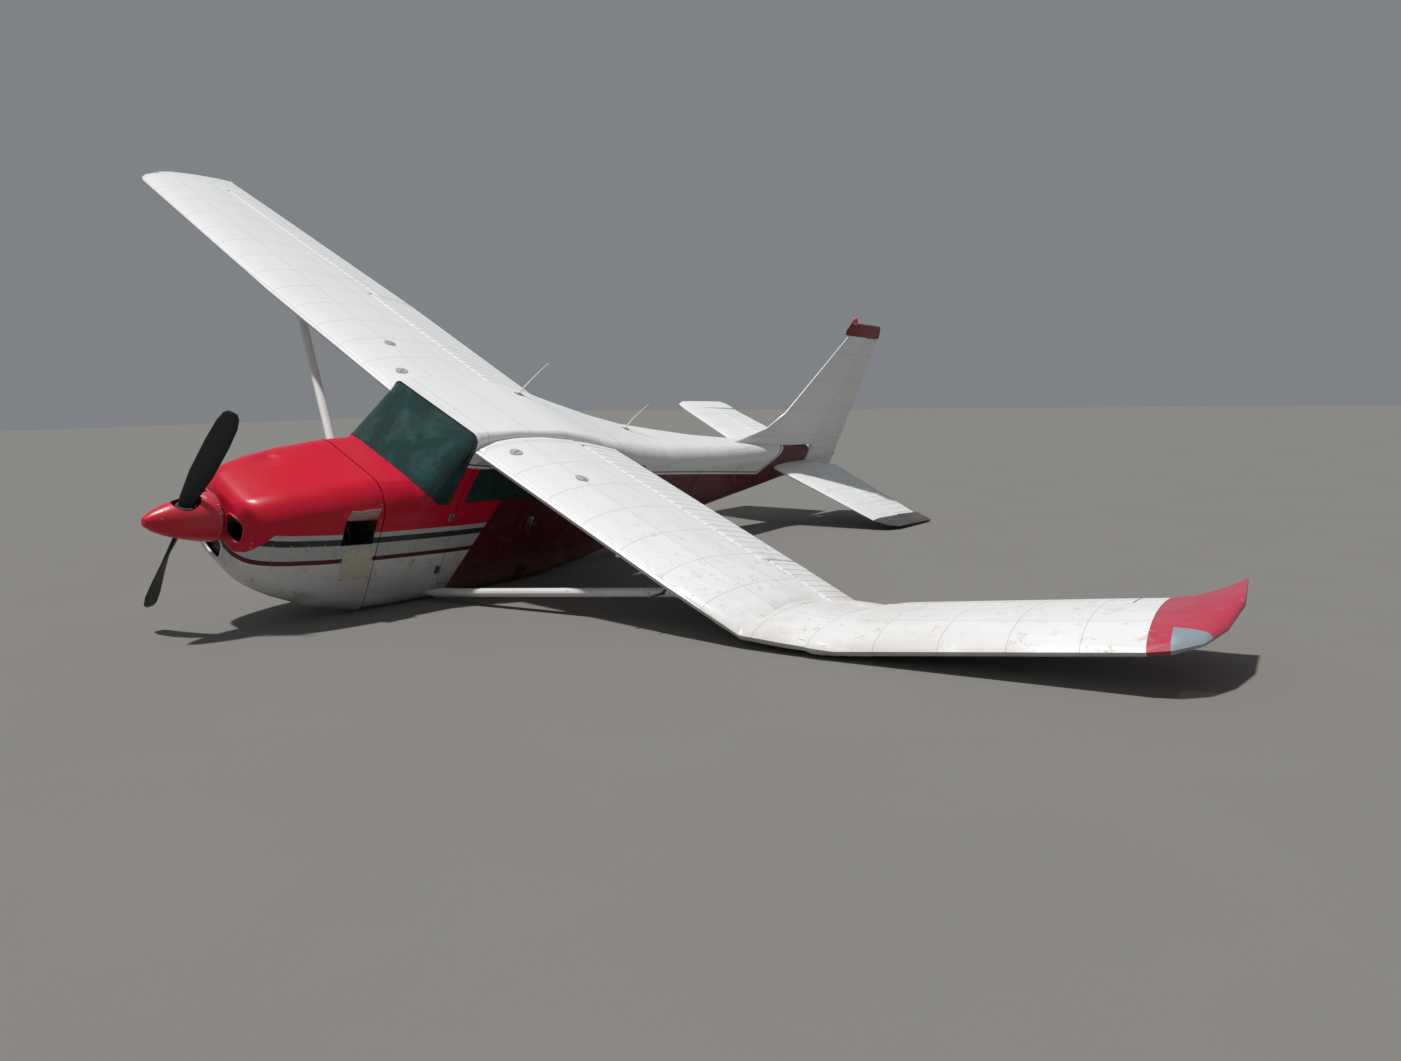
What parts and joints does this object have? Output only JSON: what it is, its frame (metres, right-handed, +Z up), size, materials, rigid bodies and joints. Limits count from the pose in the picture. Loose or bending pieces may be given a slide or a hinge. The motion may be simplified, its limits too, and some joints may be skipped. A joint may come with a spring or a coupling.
{
  "type": "light aircraft",
  "caption": "Wrecked high-wing, strut-braced, single-engine light aircraft lying banked on its belly, one wheel and a folded wing.",
  "frame": {"origin": "centre of the bounding box, on the ground that the aircraft lies on", "axes": "+Z up from the ground, nose towards -Y, the aircraft's left side towards +X"},
  "size_m": [10.7878, 8.7436, 4.1594],
  "materials": {
    "paint_red": "gloss red paint",
    "paint_white": "gloss white paint on sheet metal",
    "paint_maroon": "gloss maroon paint on sheet metal",
    "paint_grey": "dark grey paint",
    "iron": "bare, sooty",
    "bare_metal": "bare metal",
    "prop_black": "satin black paint",
    "tinted_glass": "clear, green tint",
    "lamp_glass": "clear lens",
    "trim_cream": "matte",
    "trim_black": "matte",
    "seat_fabric": "woven",
    "tyre": "matte rubber"
  },
  "bodies": {
    "airframe": {"cowl_upper": "paint_red", "wing_tip_left": "paint_red", "cowl_lower": "paint_white", "cabin_shell": "paint_white", "cabin_roof": "paint_white", "wing_right": "paint_white", "wing_tip_right": "paint_white", "wing_left": "paint_white", "aileron_left": "paint_white", "strut_right": "paint_white", "strut_left": "paint_white", "fin": "paint_white", "tailplane_right": "paint_white", "tailplane_left": "paint_white", "antenna_front": "paint_white", "antenna_back": "paint_white", "tail_cone": "paint_maroon", "fin_cap": "paint_maroon", "tailplane_tip_left": "paint_grey", "tailplane_tip_right": "paint_white", "engine_block": "iron", "exhaust_pipe": "iron", "firewall": "bare_metal", "main_leg_right": "bare_metal", "nose_leg_stub": "bare_metal", "cowl_plate_left": "bare_metal", "windshield": "tinted_glass", "rear_side_window_right": "tinted_glass", "rear_side_window_left": "tinted_glass", "baggage_bulkhead": "trim_cream", "cabin_floor": "trim_cream", "instrument_panel": "trim_black", "tip_lamp_right": "lamp_glass", "tip_lamp_left": "lamp_glass", "front_seat_right": "seat_fabric", "front_seat_left": "seat_fabric", "rear_bench": "seat_fabric"},
    "rotor": {"propeller": "prop_black", "spinner": "paint_red"},
    "wheel_right": {"wheel_hub_right": "paint_white", "tyre_right": "tyre"},
    "rudder": {"rudder": "paint_white"},
    "elevator": {"elevator": "paint_white"},
    "aileron_right": {"aileron_right": "paint_white"},
    "flap_right": {"flap_right": "paint_white"},
    "flap_left": {"flap_left": "paint_white"},
    "door_right": {"door_right": "paint_maroon", "door_window_right": "tinted_glass"},
    "door_left": {"door_left": "paint_maroon", "door_window_left": "tinted_glass"}
  },
  "joints": [
    {"name": "propeller_spin", "type": "hinge", "parent": "airframe", "child": "rotor", "pos_m": [-0.49714, -4.10187, 0.8282], "axis": [0, 0.9997, -0.0244], "continuous": true},
    {"name": "wheel_spin_right", "type": "hinge", "parent": "airframe", "child": "wheel_right", "pos_m": [-2.18755, -1.43609, 0.21384], "axis": [-0.9063, 0.0103, 0.4225], "continuous": true},
    {"name": "rudder_hinge", "type": "hinge", "parent": "airframe", "child": "rudder", "pos_m": [-0.48869, 3.64567, 0.65698], "axis": [0.4155, 0.2046, 0.8863], "range_deg": [-20, 20]},
    {"name": "elevator_hinge", "type": "hinge", "parent": "airframe", "child": "elevator", "pos_m": [-0.4515, 3.59422, 0.73802], "axis": [-0.9063, 0.0103, 0.4225], "range_deg": [-28, 23]},
    {"name": "aileron_right_hinge", "type": "hinge", "parent": "airframe", "child": "aileron_right", "pos_m": [-2.54535, -1.05459, 2.59223], "axis": [-0.873, -0.0651, 0.4834], "range_deg": [-20, 15]},
    {"name": "flap_right_hinge", "type": "hinge", "parent": "airframe", "child": "flap_right", "pos_m": [-0.77758, -1.1542, 1.66971], "axis": [-0.8853, 0.011, 0.4648], "range_deg": [0, 30]},
    {"name": "flap_left_hinge", "type": "hinge", "parent": "airframe", "child": "flap_left", "pos_m": [0.38198, -1.16747, 1.12671], "axis": [-0.9127, 0.0103, 0.4084], "range_deg": [0, 30]},
    {"name": "door_left_hinge", "type": "hinge", "parent": "airframe", "child": "door_left", "pos_m": [-0.03431, -2.31065, 0.44713], "axis": [-0.4226, -0.0221, -0.906], "range_deg": [0, 65]},
    {"name": "door_right_hinge", "type": "hinge", "parent": "airframe", "child": "door_right", "pos_m": [-1.05294, -2.29904, 0.92198], "axis": [0.4226, 0.0221, 0.906], "range_deg": [0, 65]}
  ]
}
